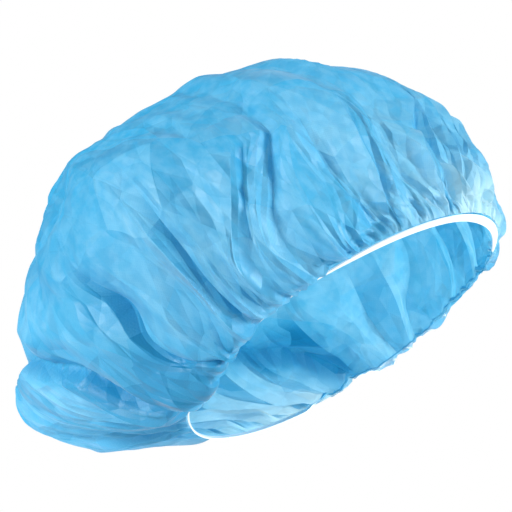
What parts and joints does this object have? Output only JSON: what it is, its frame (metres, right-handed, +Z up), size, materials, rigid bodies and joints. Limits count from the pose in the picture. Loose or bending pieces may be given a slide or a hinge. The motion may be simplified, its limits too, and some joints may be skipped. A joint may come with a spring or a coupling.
{
  "type": "disposable bouffant hair cover",
  "caption": "Round nonwoven cloth cap gathered into a flat elastic edge, puffed out over the hair and hanging low at the nape, held as a head holds it.",
  "frame": {"origin": "middle of the elastic's oval, where the head goes in", "axes": "+Z up as the cap is worn, -Y towards the brow, +X towards the wearer's left"},
  "size_m": [0.2365, 0.2685, 0.2083],
  "materials": {
    "nonwoven_cloth": "thin embossed spunbond, matte with a soft sheen",
    "white_elastic": "matte knitted elastic"
  },
  "bodies": {
    "root": {"cloth_crown": "nonwoven_cloth", "elastic_band": "white_elastic"}
  },
  "joints": []
}
